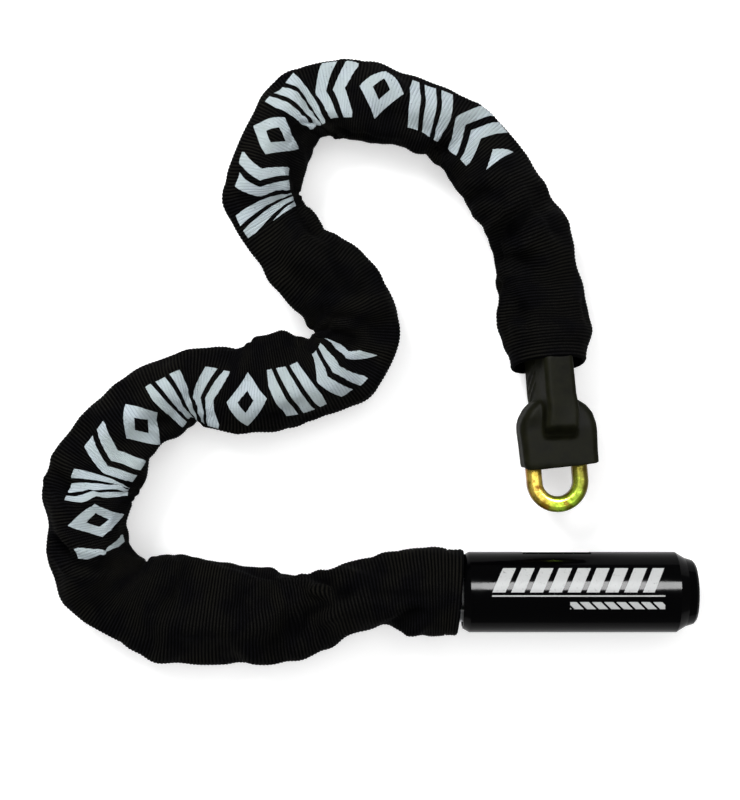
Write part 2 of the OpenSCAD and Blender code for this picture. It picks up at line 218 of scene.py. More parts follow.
def flat_square(name, half):
    """A square on the ground."""
    mesh = bpy.data.meshes.new(name)
    corners = [(-half, -half, 0), (half, -half, 0), (half, half, 0), (-half, half, 0)]
    mesh.from_pydata(corners, [], [(0, 1, 2, 3)])
    return add_object(name, mesh)


def unit(vectors):
    """The same directions at length 1."""
    return vectors / np.maximum(np.linalg.norm(vectors, axis=-1, keepdims=True), 1e-9)


def steps_around(grid):
    """The distance from each point to the next one around its ring."""
    return np.linalg.norm(np.roll(grid, -1, axis=1) - grid, axis=-1)


def smooth(x):
    """Smoothstep of x, clipped to 0..1."""
    x = np.clip(x, 0, 1)
    return x * x * (3 - 2 * x)


def soft_steps(at, xs, ys):
    """A smooth curve through the points (xs, ys), with no overshoot."""
    i = np.clip(np.searchsorted(xs, at) - 1, 0, len(xs) - 2)
    x0, x1 = np.asarray(xs, float)[i], np.asarray(xs, float)[i + 1]
    y0, y1 = np.asarray(ys, float)[i], np.asarray(ys, float)[i + 1]
    return y0 + (y1 - y0) * smooth((at - x0) / (x1 - x0))


# ---- The route of the sleeve ----
def chain_bodies():
    """The names of the bodies along the chain, from the lock to the plated end."""
    names = ["lock"]
    for joint in HINGES:
        pair = [joint["parent"], joint["child"]]
        pair.remove(names[-1])
        names.append(pair[0])
    return names


def turn_at(a, corner, b, count=40):
    """A quadratic curve from a to b that leaves and arrives along the two straight links."""
    t = np.linspace(0, 1, count, endpoint=False)[:, None]
    return (1 - t) ** 2 * a + 2 * t * (1 - t) * corner + t * t * b


class Route:
    """The chain's line in plan: through the middle of each link, with a smooth turn past each hinge."""

    def __init__(self):
        hinges = [np.array(j["pos_m"][:2]) / MM for j in HINGES]
        eye = (np.array(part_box("link_21")[0][:2]) + np.array(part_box("link_21")[1][:2])) / 2 / MM
        first = hinges[1] - hinges[0]
        last = unit(eye - hinges[-1])
        start = hinges[0] + first * (LOCK_FACE - HEM_GAP - hinges[0][0]) / first[0]
        end = hinges[-1] + last * END_REACH
        middles = [(a + b) / 2 for a, b in zip(hinges, hinges[1:])]
        knots = [start] + middles[1:] + [end]
        runs = [turn_at(knots[i], hinges[i + 1], knots[i + 1]) for i in range(len(hinges) - 1)]
        fine = np.vstack(runs + [end[None]])
        length_at = np.r_[0, np.cumsum(np.linalg.norm(np.diff(fine, axis=0), axis=1))]
        self.length = length_at[-1]
        before = start - unit(first) * RUN_ON
        self.fine = np.vstack([before[None], fine, (end + last * RUN_ON)[None]])
        self.length_at = np.r_[-RUN_ON, length_at, self.length + RUN_ON]
        self.hinges = hinges
        self.middle_at = [self.nearest(m) for m in middles]

    def nearest(self, point):
        """How far along the route lies closest to a point."""
        return self.length_at[np.argmin(np.linalg.norm(self.fine - point, axis=1))]

    def at(self, s):
        """The route's points and left-hand normals at distances s."""
        along = unit(self.points(s + HEADING_REACH) - self.points(s - HEADING_REACH))
        return self.points(s), np.stack([-along[..., 1], along[..., 0]], axis=-1)

    def points(self, s):
        """The route's points at distances s."""
        return np.stack([np.interp(s, self.length_at, self.fine[:, k]) for k in (0, 1)], axis=-1)


ROUTE = Route()
CHAIN = chain_bodies()


def link_spans(end):
    """The ends of each link's run in plan, the last one up to a distance along the route."""
    ends = ROUTE.hinges + [ROUTE.at(np.array([end]))[0][0]]
    return list(zip(ends, ends[1:]))


def link_axes(a, b):
    """The middle, the heading and the left-hand direction of the link that runs from a to b."""
    heading = unit(b - a)
    return (a + b) / 2, heading, np.array([-heading[1], heading[0]])


# ---- The sleeve's shape ----
def top_height(s):
    """Height of the sleeve's top: a tent over each upright link and a dip over each flat one."""
    xs, ys = [-RUN_ON], [TOP_HEM]
    for k, middle in enumerate(ROUTE.middle_at):
        upright = k % 2
        half = TENT_HALF if upright else DIP_HALF
        xs += [middle - half, middle + half]
        ys += [TOP_UPRIGHT if upright else TOP_FLAT] * 2
    ys[:3] = [TOP_HEM] * 3
    xs.append(ROUTE.length - TOP_END)
    ys.append(TOP_UPRIGHT)
    return soft_steps(s, xs, ys)


def section(s, angle):
    """Offset to the left and height of the tube's wall, at distances s and angles around from the right."""
    stations = [w[0] for w in WIDTHS]
    left = soft_steps(s, stations, [w[1] for w in WIDTHS])
    right = soft_steps(s, stations, [w[2] for w in WIDTHS])
    c, d = np.cos(angle), np.sin(angle)
    side = np.where(c > 0, -right, left) * np.abs(c) ** 0.9
    above = (top_height(s) - WIDEST) * np.abs(d) ** 0.95
    below = (WIDEST - FLOOR_CLEAR) * np.abs(d) ** 0.75
    return side, WIDEST + np.where(d > 0, above, -below)


def place(s, side, height):
    """Points in plan and height from the distance along, the offset to the left and the height."""
    point, normal = ROUTE.at(s)
    flat = point + normal * side[..., None]
    return np.concatenate([flat, height[..., None]], axis=-1)


def plain_tube(s, count):
    """The tube's rings before it is draped, as an array of rings by points."""
    angle = np.linspace(0, 2 * math.pi, count, endpoint=False)
    s_grid, angle_grid = np.meshgrid(s, angle, indexing="ij")
    side, height = section(s_grid, angle_grid)
    tilt = smooth((s_grid - (ROUTE.length - END_TILT_RUN)) / END_TILT_RUN) * END_TILT
    s_tilted = s_grid - tilt * (height / AXIS_Z - 1)
    return place(s_tilted, side, height)


def stadium_link(a, b, upright):
    """A coarse chain link between the hinges a and b, for the cloth to lie on."""
    middle, heading, left = link_axes(a, b)
    turn = np.linspace(0, 2 * math.pi, 24, endpoint=False)
    round_bar = np.linspace(0, 2 * math.pi, 8, endpoint=False)
    straight = np.where(np.cos(turn) > 0, LINK_STRAIGHT, -LINK_STRAIGHT)
    reach = LINK_BEND + LINK_BAR / 2 * np.cos(round_bar)
    along = straight[:, None] + reach[None] * np.cos(turn)[:, None]
    across = reach[None] * np.sin(turn)[:, None]
    out = np.broadcast_to(LINK_BAR / 2 * np.sin(round_bar), along.shape)
    side, up = (out, across) if upright else (across, out)
    flat = middle + along[..., None] * heading + side[..., None] * left
    rings = np.concatenate([flat, (AXIS_Z + up)[..., None]], axis=-1)
    return rings[::-1] if upright else rings


def chain_colliders():
    """A simple ring for every link and a floor, at the simulation's scale."""
    made = []
    for k, (a, b) in enumerate(link_spans(ROUTE.length + END_LINK_REACH)):
        rings = stadium_link(a, b, bool(k % 2))
        rings = np.concatenate([rings, rings[:1]])
        made.append(grid_mesh(f"rest_on_{k}", rings * SIM_SCALE))
    made.append(flat_square("rest_on_floor", SIM_FLOOR_HALF))
    for thing in made:
        thing.modifiers.new("collision", "COLLISION")
        thing.collision.thickness_outer = SIM_GAP
        thing.collision.cloth_friction = 8.0
    return made


def cloth_lengths(coarse):
    """How far along the flat cloth each ring lies: the outside of a bend is taut, and the inside gathers."""
    steps = np.linalg.norm(np.diff(coarse, axis=0), axis=-1).max(axis=1)
    return np.r_[0, np.cumsum(steps)] * (1 + SLACK)


def straight_tube(coarse):
    """The same rings as they were cut and sewn: a straight round tube of the cloth's own lengths."""
    around = steps_around(coarse)
    turn = (np.cumsum(around, axis=1) - around) / around.sum(axis=1, keepdims=True) * 2 * math.pi
    radius = around.sum(axis=1, keepdims=True) * (1 + GIRTH_SLACK) / (2 * math.pi)
    along = np.broadcast_to(cloth_lengths(coarse)[:, None], turn.shape)
    return np.stack([along, -radius * np.cos(turn), radius * np.sin(turn)], axis=-1)


def blur(field, along, around):
    """A box-blurred copy of a field of points on the tube."""
    wide = np.concatenate([field[:1]] * along + [field] + [field[-1:]] * along)
    total = np.cumsum(np.concatenate([wide[:1] * 0, wide]), axis=0)
    field = (total[2 * along + 1:] - total[:-2 * along - 1]) / (2 * along + 1)
    return sum(np.roll(field, k, axis=1) for k in range(-around, around + 1)) / (2 * around + 1)


def cloth_settings(modifier, cut):
    """Sets up a light, slack cloth that is sewn as the shape key cut says and held at both hems."""
    settings = modifier.settings
    settings.quality = 6
    settings.mass = 0.25
    settings.tension_stiffness = 20
    settings.compression_stiffness = 20
    settings.shear_stiffness = 6
    settings.bending_stiffness = 3.0
    settings.effector_weights.gravity = 0.25
    settings.rest_shape_key = cut
    settings.air_damping = 1.5
    settings.vertex_group_mass = "hems"
    touching = modifier.collision_settings
    touching.distance_min = SIM_GAP
    touching.collision_quality = 3
    touching.use_self_collision = True
    touching.self_distance_min = SIM_GAP


def settle(coarse):
    """Where the slack tube comes to lie on the chain and the floor, by cloth simulation."""
    cloth = grid_mesh("draping", coarse * SIM_SCALE)
    cloth.shape_key_add(name="draped")
    cut = cloth.shape_key_add(name="cut")
    cut.data.foreach_set("co", (straight_tube(coarse) * SIM_SCALE * MM).astype(np.float32).ravel())
    hold = cloth.vertex_groups.new(name="hems")
    rings, ring = coarse.shape[:2]
    count = rings * ring
    hold.add(list(range(ring)) + list(range(count - ring, count)), 1.0, "ADD")
    rests = chain_colliders()
    cloth_settings(cloth.modifiers.new("cloth", "CLOTH"), cut)
    scene = bpy.context.scene
    for number in range(1, SIM_FRAMES + 1):
        scene.frame_set(number)
    found = cloth.evaluated_get(bpy.context.evaluated_depsgraph_get())
    points = np.empty(count * 3, np.float32)
    found.data.vertices.foreach_get("co", points)
    scene.frame_set(1)
    for thing in rests + [cloth]:
        bpy.data.objects.remove(thing)
    return points.reshape(coarse.shape).astype(float) / (SIM_SCALE * MM)


def drape(coarse):
    """The tube with the simulation's folds, but with only part of its overall sag and of its slide along."""
    move = settle(coarse) - coarse
    bulk = blur(blur(move, *BULK_BLUR), *BULK_BLUR)
    kept = move - bulk * (1 - BULK_KEPT)
    along = unit(np.gradient(coarse, axis=0))
    kept -= along * (kept * along).sum(axis=-1, keepdims=True) * (1 - SLIDE_KEPT)
    far = np.linalg.norm(kept, axis=-1, keepdims=True)
    draped = coarse + kept * (MOVE_CAP * np.tanh(far / MOVE_CAP) / np.maximum(far, 1e-6))
    eased = blur(draped, 1, 1)
    eased[[0, -1]] = draped[[0, -1]]
    draped += (eased - draped) * EASE
    draped = keep_off_links(draped, LINK_CLEAR)
    draped[..., 2] = np.maximum(draped[..., 2], FLOOR_CLEAR)
    return draped


def cubic_rows(values, at, count):
    """Cubic resampling of rows of points, given at 0, 1, 2..., at the places in at."""
    i = np.clip(np.floor(at).astype(int), 0, count - 2)
    t = (at - i)[:, None, None]
    rows = [values[np.clip(i + k, 0, count - 1)] for k in (-1, 0, 1, 2)]
    return (rows[1] + 0.5 * t * (rows[2] - rows[0]
            + t * (2 * rows[0] - 5 * rows[1] + 4 * rows[2] - rows[3]
            + t * (3 * (rows[1] - rows[2]) + rows[3] - rows[0]))))


def resample(grid, rows, columns):
    """A finer grid from a coarse one: cubic along the tube, and cubic and closed around it."""
    fine = cubic_rows(grid, rows, len(grid))
    turned = np.swapaxes(fine, 0, 1)
    wide = np.concatenate([turned[-2:], turned, turned[:3]])
    where = 2 + np.arange(columns) * (len(turned) / columns)
    return np.swapaxes(cubic_rows(wide, where, len(wide)), 0, 1)


def to_segment(points, a, b):
    """Plan distances from points to the segment a-b, and how far along it they lie, from 0 to 1."""
    run = b - a
    share = np.clip(((points - a) @ run) / (run @ run), 0, 1)
    return np.linalg.norm(points - a - share[..., None] * run, axis=-1), share


def over_upright_links(points):
    """1 right over an upright link, where the cloth lies on steel and can't fold deeply, and 0 well away."""
    cover = np.zeros(points.shape[:-1])
    for a, b in link_spans(ROUTE.length)[1::2]:
        gap, _ = to_segment(points, a, b)
        cover = np.maximum(cover, 1 - smooth((gap - LINK_COVER) / LINK_COVER_FADE))
    return cover


def link_gap(along, wide, thin):
    """How far points lie outside a chain link, or inside it if negative, and the shortest way out."""
    past = along - np.clip(along, -LINK_STRAIGHT, LINK_STRAIGHT)
    reach = np.maximum(np.hypot(past, wide), 1e-6)
    rim = reach - LINK_BEND - LINK_BAR / 2
    face = np.abs(thin) - LINK_BAR / 2
    inside = (rim < 0) & (face < 0)
    gap = np.where(inside, np.maximum(rim, face), np.hypot(np.maximum(rim, 0), np.maximum(face, 0)))
    by_rim = np.where(inside, rim >= face, np.maximum(rim, 0))
    by_face = np.where(inside, face > rim, np.maximum(face, 0))
    way = np.stack([past / reach * by_rim, wide / reach * by_rim, np.sign(thin) * by_face], axis=-1)
    return gap, unit(way)


def keep_off_links(grid, clear):
    """Moves cloth that would cut into the chain out to a small distance from its links."""
    grid = grid.copy()
    for k, (a, b) in enumerate(link_spans(ROUTE.length + END_LINK_REACH)):
        middle, heading, left = link_axes(a, b)
        off = grid[..., :2] - middle
        along, side, up = off @ heading, off @ left, grid[..., 2] - AXIS_Z
        upright = bool(k % 2)
        gap, way = link_gap(along, up, side) if upright else link_gap(along, side, up)
        side_way, up_way = (way[..., 2], way[..., 1]) if upright else (way[..., 1], way[..., 2])
        push = np.clip(clear - gap, 0, None)
        grid[..., :2] += (push * way[..., 0])[..., None] * heading + (push * side_way)[..., None] * left
        grid[..., 2] += push * up_way
    return grid


def fold_depths(grid, route_at, around):
    """How far each point moves out, or in if negative, for folds and waves, and its painted shade in folds.
    """
    plan = grid[..., :2]
    upper = smooth((grid[..., 2] - FOLD_FOOT) / FOLD_RISE)
    move = np.zeros(plan.shape[:-1])
    for (s_a, side_a), (s_b, side_b), depth, width in FOLDS:
        (a, b), (left_a, left_b) = ROUTE.at(np.array([float(s_a), float(s_b)]))
        gap, share = to_segment(plan, a + left_a * side_a, b + left_b * side_b)
        fade = 1 - 0.6 * np.abs(2 * share - 1) ** 3
        shoulder = FOLD_SHOULDER * np.exp(-((gap - 2.2 * width) / (0.9 * width)) ** 2)
        profile = shoulder - np.exp(-(gap / width) ** 2)
        near = np.abs(route_at - (s_a + s_b) / 2) < abs(s_a - s_b) / 2 + FOLD_NEAR
        move += np.where(near, depth * fade * profile, 0) * upper
    for along, across, phase, height in RIPPLES:
        move += height * np.sin(2 * math.pi * (route_at / along + around / across) + phase)
    move *= smooth((np.minimum(route_at, ROUTE.length - route_at) - HEM_FLAT) / HEM_FADE)
    over = over_upright_links(plan) * smooth((grid[..., 2] - LINK_COVER_FOOT) / LINK_COVER_RISE)
    held_up = move * (1 - (1 - FOLD_OVER_LINK) * over)
    deep = np.where(move < 0, -FOLD_LIMIT * np.tanh(-held_up / FOLD_LIMIT), move)
    return deep, np.clip(-move / FOLD_LIMIT, 0, 1)


def wall_normals(grid):
    """Outward normals of a closed-around grid of points."""
    along = np.gradient(grid, axis=0)
    around = np.roll(grid, -1, axis=1) - np.roll(grid, 1, axis=1)
    return unit(np.cross(along, around))


def grid_mesh(name, grid):
    """A piece of quads through a grid of points in millimetres, closed around its rings."""
    rows, columns = grid.shape[:2]
    index = np.arange(rows * columns).reshape(rows, columns)
    nxt = np.roll(index, -1, axis=1)
    faces = np.stack([index[:-1], nxt[:-1], nxt[1:], index[1:]], axis=-1).reshape(-1, 4)
    mesh = bpy.data.meshes.new(name)
    mesh.from_pydata((grid.reshape(-1, 3) * MM).tolist(), [], faces[:, ::-1].tolist())
    mesh.shade_smooth()
    return add_object(name, mesh)


def hem_tuck(bare, side):
    """The rings of a hem's edge, folded inwards: the inner layer from its deep end, then the round turn."""
    normal = wall_normals(bare[:HEM_TUCK_RINGS + 1]) * side
    inner = (bare[:HEM_TUCK_RINGS + 1] - normal * HEM_FOLD)[::-1]
    outwards = unit(bare[0] - bare[2])
    turn = [bare[0] - normal[0] * HEM_FOLD / 2 * (1 - np.cos(a)) + outwards * HEM_FOLD / 2 * np.sin(a)
            for a in math.pi * np.array([0.8, 0.6, 0.4, 0.2])]
    return np.concatenate([inner, np.stack(turn)])


class Sleeve:
    """The sleeve's finished wall as rings of points, with where each point lies on the cloth."""

    def __init__(self):
        self.coarse_s = np.linspace(0, ROUTE.length, int(ROUTE.length / COARSE_STEP) + 1)
        coarse = plain_tube(self.coarse_s, COARSE_AROUND)
        self.cloth_at = cloth_lengths(coarse)
        length = self.cloth_at[-1]
        ribs = int(round(length / RIB_PITCH))
        self.pitch = length / ribs
        self.s = np.linspace(0, length, ribs * RINGS_PER_RIB + 1)
        smooth_wall, self.painted_shade = self.folded(drape(coarse))
        self.tucks = [hem_tuck(smooth_wall, 1), hem_tuck(smooth_wall[::-1], -1)[::-1]]
        self.wall = smooth_wall + wall_normals(smooth_wall) * self.rib_wave()[:, None, None]
        steps = steps_around(self.wall)
        self.girths = steps.sum(axis=1)
        self.t = self.from_top(np.cumsum(steps, axis=1) - steps)

    def folded(self, coarse):
        """The wall at its full fineness with its folds, and painted shade by how deep each point lies in one.
        """
        fine = resample(coarse, np.interp(self.s, self.cloth_at, np.arange(len(coarse))), AROUND)
        route_at = np.broadcast_to(self.route_place(self.s)[:, None], fine.shape[:2])
        folds, painted_shade = fold_depths(fine, route_at, np.cumsum(steps_around(fine), axis=1))
        fine = keep_off_links(fine + wall_normals(fine) * folds[..., None], CLOTH_CLEAR)
        fine[..., 2] = np.maximum(fine[..., 2], FLOOR_CLEAR)
        return fine, painted_shade

    def route_place(self, along):
        """Distances along the route from distances along the cloth."""
        return np.interp(along, self.cloth_at, self.coarse_s)

    def rib_wave(self):
        """How far each ring stands out: the ribs, and a groove for the stitching of each hem."""
        wave = RIB_HEIGHT * np.abs(np.sin(np.pi * self.s / self.pitch)) ** RIB_ROUND
        from_end = np.minimum(self.s, self.cloth_at[-1] - self.s)
        return wave - STITCH_DEPTH * np.exp(-((from_end - STITCH_AT) / STITCH_HALF_WIDTH) ** 2)

    def from_top(self, around):
        """Distances around the cloth from the line along its top, negative on the one side of it."""
        half = self.girths[:, None] / 2
        return (around - around[:, [AROUND // 4]] + half) % (2 * half) - half

    def seam_rings(self):
        """The ring at which each piece starts, and the last ring of all."""
        seams = [0.0, FIRST_SEAM] + ROUTE.middle_at[1:] + [ROUTE.length]
        along = np.interp(seams, self.coarse_s, self.cloth_at)
        return [int(round(x / self.pitch)) * RINGS_PER_RIB for x in along]

    def tuck_rows(self, end):
        """A folded hem at the tube's first or last end: its rings, their places and full painted shade."""
        tuck = self.tucks[end]
        rings = len(tuck) - HEM_TUCK_RINGS - 1
        inner_s = self.s[-HEM_TUCK_RINGS - 1:][::-1] if end else self.s[:HEM_TUCK_RINGS + 1][::-1]
        turn_s = [self.s[-end]] * rings
        along = np.r_[turn_s, inner_s] if end else np.r_[inner_s, turn_s]
        around = np.broadcast_to(self.t[-end], tuck.shape[:2])
        return tuck, along, around, np.ones(tuck.shape[:2])

    def rows(self, k, first, last):
        """Piece k's rings with its hem, their places on the cloth, and their painted shade."""
        cut = slice(first, last + 1)
        parts = [(self.wall[cut], self.s[cut], self.t[cut], self.painted_shade[cut])]
        if k == 0:
            parts.insert(0, self.tuck_rows(0))
        if k == len(HINGES) - 1:
            parts.append(self.tuck_rows(1))
        return [np.concatenate(column) for column in zip(*parts)]


def store(piece, name, kind, field, values):
    """Stores one value for each point of a piece, for its material to read."""
    attribute = piece.data.attributes.new(name, kind, "POINT")
    attribute.data.foreach_set(field, values.astype(np.float32).ravel())


def sleeve_piece(sleeve, k, first, last, material):
    """The piece of the sleeve over hinge k, between two of its rings."""
    walls, ring_s, around, painted_shade = sleeve.rows(k, first, last)
    piece = grid_mesh(f"sleeve_cloth_{k + 1:02d}", walls)
    along = np.repeat(ring_s, AROUND)
    around = around.ravel()
    route_at = np.where(np.abs(around) > UNDERSIDE, 0, sleeve.route_place(along))
    rib_mm = along / sleeve.pitch * RIB_PITCH
    store(piece, "cloth_mm", "FLOAT_VECTOR", "vector", np.stack([rib_mm, around, route_at], axis=-1))
    # Painted shade for the material: by fold depth, and full over the tucked hems.
    store(piece, "cloth_painted_shade", "FLOAT", "value", painted_shade)
    piece.data.materials.append(material)
    bend_over_hinge(piece, sleeve.wall[first] * MM, sleeve.wall[last] * MM)
    if k % 2:
        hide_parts(f"sleeve_{(k + 1) // 2:02d}")


def make_sleeve(material):
    """The whole sleeve, as one piece for each hinge. Every second one takes the place of a CAD stand-in."""
    sleeve = Sleeve()
    rings = sleeve.seam_rings()
    for k, (first, last) in enumerate(zip(rings, rings[1:])):
        sleeve_piece(sleeve, k, first, last, material)


def bend_over_hinge(piece, first_ring, last_ring):
    """Bakes the piece's place into its mesh; the heading between its end rings is worked out but not used."""
    across = last_ring.mean(axis=0) - first_ring.mean(axis=0)
    across = unit(across * [1, 1, 0])
    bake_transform(piece)


# ---- The rubber boot ----
def rounded_ring(half_w, half_h, radius, count=10):
    """A rectangle with round corners, as points across and up."""
    arc = np.linspace(0, math.pi / 2, count)
    corner = radius * np.stack([np.cos(arc), np.sin(arc)], axis=-1)
    centre = np.array([half_w - radius, half_h - radius])
    first = centre + corner
    second = (first * [-1, 1])[::-1]
    return np.concatenate([first, second, -first, -second])


def loft(stations, count, curve):
    """Rings through rounded rectangles at (distance, half width, half height, radius), joined by a curve."""
    at = [row[0] for row in stations]
    rows = []
    for u in np.linspace(at[0], at[-1], count):
        half_w, half_h, radius = [float(curve(u, at, [row[c] for row in stations])) for c in (1, 2, 3)]
        ring = rounded_ring(half_w, half_h, min(radius, half_w * 0.98, half_h * 0.98))
        rows.append(np.column_stack([np.full(len(ring), u), ring]))
    return np.stack(rows)


def add_skin(form, rings):
    """Adds a closed skin through rings, with flat ends, to a bmesh."""
    rows = [[form.verts.new(p) for p in ring] for ring in rings]
    for a, b in zip(rows, rows[1:]):
        for i in range(len(a)):
            j = (i + 1) % len(a)
            form.faces.new((a[i], a[j], b[j], b[i]))
    form.faces.new(rows[0][::-1])
    form.faces.new(rows[-1])


def grip_ridge(u, side):
    """One slanting ridge on the neck's broad side, from its lower edge to its middle."""
    slant = math.radians(RIDGE_SLANT)
    run = np.array([-math.sin(slant), 0, math.cos(slant)])
    turn = np.linspace(0, 2 * math.pi, 10, endpoint=False)
    along = np.cos(turn)
    around = np.stack([along * math.cos(slant), np.sin(turn), along * math.sin(slant)], axis=-1)
    middle = np.array([u, side * (NECK_HALF_W - 0.1), RIDGE_HEIGHT])
    rings = []
    for r in np.linspace(-RIDGE_REACH, RIDGE_REACH, 12):
        radius = RIDGE_RADIUS * math.sqrt(max(1 - (r / RIDGE_REACH) ** 6, 0.02))
        rings.append(middle + r * run + radius * around)
    return np.stack(rings)


def boot_twist(u):
    """How far the soft boot has rolled about the chain: fully at the neck, and less at the plated link."""
    return math.radians(BOOT_ROLL) * (1 - 0.55 * smooth((u - 33) / 13))


def boot_form():
    """The boot's skins before it is twisted: neck with its sloping tongue, wide foot, and grip ridges."""
    form = bmesh.new()
    w, h, t = NECK_HALF_W, NECK_HALF_H, FOOT_HALF_T
    neck = [(14, w - 0.2, h, 2.2), (30, w, h, 2.2), (44.0, w + 0.5, h, 2.4),
            (48.5, w + 0.4, t + 2.0, 2.4), (50.5, w + 0.2, t - 1.0, 2.0)]
    foot = [(32.3, 6.8, t - 1.6, 3.0), (33.8, 10.2, t - 1.0, 3.2), (36.3, 13.2, t - 0.4, 3.4),
            (39.8, 15.6, t, 3.4), (43.5, 16.8, t, 3.4), (46.5, 17.0, t, 3.4), (54.0, 16.6, t, 3.2),
            (61.0, 16.4, t, 3.0), (62.4, 16.0, t - 0.3, 2.8), (63.4, 15.2, t - 1.2, 2.4)]
    add_skin(form, loft(neck, 60, soft_steps))
    add_skin(form, loft(foot, 70, np.interp))
    for side in (-1, 1):
        for k in range(3):
            add_skin(form, grip_ridge(RIDGE_FIRST + RIDGE_PITCH * k, side))
    return form


def lay_on_chain(form, heading):
    """Twists the boot's skins and lays them along the chain's last link."""
    points = np.array([v.co for v in form.verts])
    roll = boot_twist(points[:, 0])
    aside = BOOT_ASIDE[0] + (BOOT_ASIDE[1] - BOOT_ASIDE[0]) * smooth((points[:, 0] - 30) / 10)
    across = aside + points[:, 1] * np.cos(roll) + points[:, 2] * np.sin(roll)
    up = points[:, 2] * np.cos(roll) - points[:, 1] * np.sin(roll)
    out = points[:, 0] + BOOT_SKEW * across * smooth((points[:, 0] - 36) / 10)
    left = np.array([-heading[1], heading[0]])
    flat = ROUTE.hinges[-1] + out[:, None] * heading + across[:, None] * left
    for vert, xy, z in zip(form.verts, flat, AXIS_Z + up):
        vert.co = (xy[0] * MM, xy[1] * MM, z * MM)
    bmesh.ops.recalc_face_normals(form, faces=form.faces)


def make_boot(material):
    """The moulded boot, its skins melted into one rubber skin that rides on the chain's end."""
    heading = unit(ROUTE.fine[-1] - ROUTE.fine[-2])
    form = boot_form()
    lay_on_chain(form, heading)
    mesh = bpy.data.meshes.new("boot_skin")
    form.to_mesh(mesh)
    form.free()
    boot = add_object("boot_skin", mesh)
    remesh = boot.modifiers.new("remesh", "REMESH")
    remesh.mode = "VOXEL"
    remesh.voxel_size = BOOT_VOXEL * MM
    soften = boot.modifiers.new("soften", "SMOOTH")
    soften.factor = 0.5
    soften.iterations = 5
    apply_modifiers(boot)
    hollow_end(boot, heading)
    boot.data.materials.append(material)
    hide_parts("boot")
    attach(boot, CHAIN[-1])


def hollow_end(boot, heading):
    """Presses the foot's end back, so that it lies against the lock's round side when the lock is closed."""
    from_hinge = np.array([v.co for v in boot.data.vertices]) / MM - np.append(ROUTE.hinges[-1], AXIS_Z)
    out = from_hinge[:, :2] @ heading
    saddle = FOOT_END + LOCK_RADIUS - np.sqrt(np.maximum(LOCK_RADIUS ** 2 - from_hinge[:, 2] ** 2, 0))
    for vert, back in zip(boot.data.vertices, np.minimum(saddle - out, 0)):
        vert.co.x += back * heading[0] * MM
        vert.co.y += back * heading[1] * MM


def apply_modifiers(piece):
    """Replaces a piece's mesh with the one that its modifiers make."""
    found = piece.evaluated_get(bpy.context.evaluated_depsgraph_get())
    mesh = bpy.data.meshes.new_from_object(found)
    piece.modifiers.clear()
    piece.data = mesh
    mesh.shade_smooth()


# ---- Materials ----
class Nodes:
    """Wires the nodes of one material."""

    def __init__(self, name):
        self.material = bpy.data.materials.new(name)
        self.material.use_nodes = True
        self.tree = self.material.node_tree
        self.tree.nodes.clear()
        out = self.tree.nodes.new("ShaderNodeOutputMaterial")
        self.shader = self.tree.nodes.new("ShaderNodeBsdfPrincipled")
        self.tree.links.new(self.shader.outputs[0], out.inputs[0])

    def feed(self, socket, value):
        """Links a node's output to a socket, or writes a constant to it."""
        if isinstance(value, bpy.types.NodeSocket):
            self.tree.links.new(value, socket)
        else:
            socket.default_value = value

    def math(self, operation, a, b=0.0, c=0.0):
        """One step of arithmetic."""
        node = self.tree.nodes.new("ShaderNodeMath")
        node.operation = operation
        for socket, value in zip(node.inputs, (a, b, c)):
            self.feed(socket, value)
        return node.outputs[0]

    def times(self, a, b):
        """a times b."""
        return self.math("MULTIPLY", a, b)

    def plus(self, a, b):
        """a and b together."""
        return self.math("ADD", a, b)

    def minus(self, a, b):
        """a without b."""
        return self.math("SUBTRACT", a, b)

    def mix(self, factor, a, b):
        """A colour between a and b."""
        node = self.tree.nodes.new("ShaderNodeMix")
        node.data_type = "RGBA"
        self.feed(node.inputs[0], factor)
        self.feed(node.inputs[6], (*a, 1) if isinstance(a, tuple) else a)
        self.feed(node.inputs[7], (*b, 1) if isinstance(b, tuple) else b)
        return node.outputs[2]

    def noise(self, place, scale, detail=3.0, rough=0.5):
        """Cloudy noise from 0 to 1."""
        node = self.tree.nodes.new("ShaderNodeTexNoise")
        self.feed(node.inputs["Vector"], place)
        node.inputs["Scale"].default_value = scale
        node.inputs["Detail"].default_value = detail
        node.inputs["Roughness"].default_value = rough
        return node.outputs[0]

    def span(self, value, low, high, out_low=0.0, out_high=1.0):
        """Maps value from low..high to out_low..out_high, clipped."""
        node = self.tree.nodes.new("ShaderNodeMapRange")
        for socket, v in zip(node.inputs[:5], (value, low, high, out_low, out_high)):
            self.feed(socket, v)
        return node.outputs[0]

    def place(self):
        """The point's place on the piece, in metres."""
        node = self.tree.nodes.new("ShaderNodeTexCoord")
        return node.outputs["Object"]

    def stored(self, name):
        """The node that reads what store() wrote on the piece."""
        node = self.tree.nodes.new("ShaderNodeAttribute")
        node.attribute_name = name
        return node

    def stretch(self, vector, scale):
        """The vector with each part multiplied on its own."""
        node = self.tree.nodes.new("ShaderNodeVectorMath")
        node.operation = "MULTIPLY"
        self.feed(node.inputs[0], vector)
        node.inputs[1].default_value = scale
        return node.outputs[0]

    def split(self, vector):
        """The three parts of a vector."""
        node = self.tree.nodes.new("ShaderNodeSeparateXYZ")
        self.feed(node.inputs[0], vector)
        return node.outputs

    def bump(self, height, distance, strength):
        """A normal that shows a fine height."""
        node = self.tree.nodes.new("ShaderNodeBump")
        self.feed(node.inputs["Height"], height)
        node.inputs["Distance"].default_value = distance
        node.inputs["Strength"].default_value = strength
        return node.outputs[0]

    def set(self, **values):
        """Sets the shader's inputs, with underscores for spaces in their names."""
        for key, value in values.items():
            socket = self.shader.inputs[key.replace("_", " ")]
            if isinstance(value, tuple) and len(value) == 3 and socket.type == "RGBA":
                value = (*value, 1)
            self.feed(socket, value)


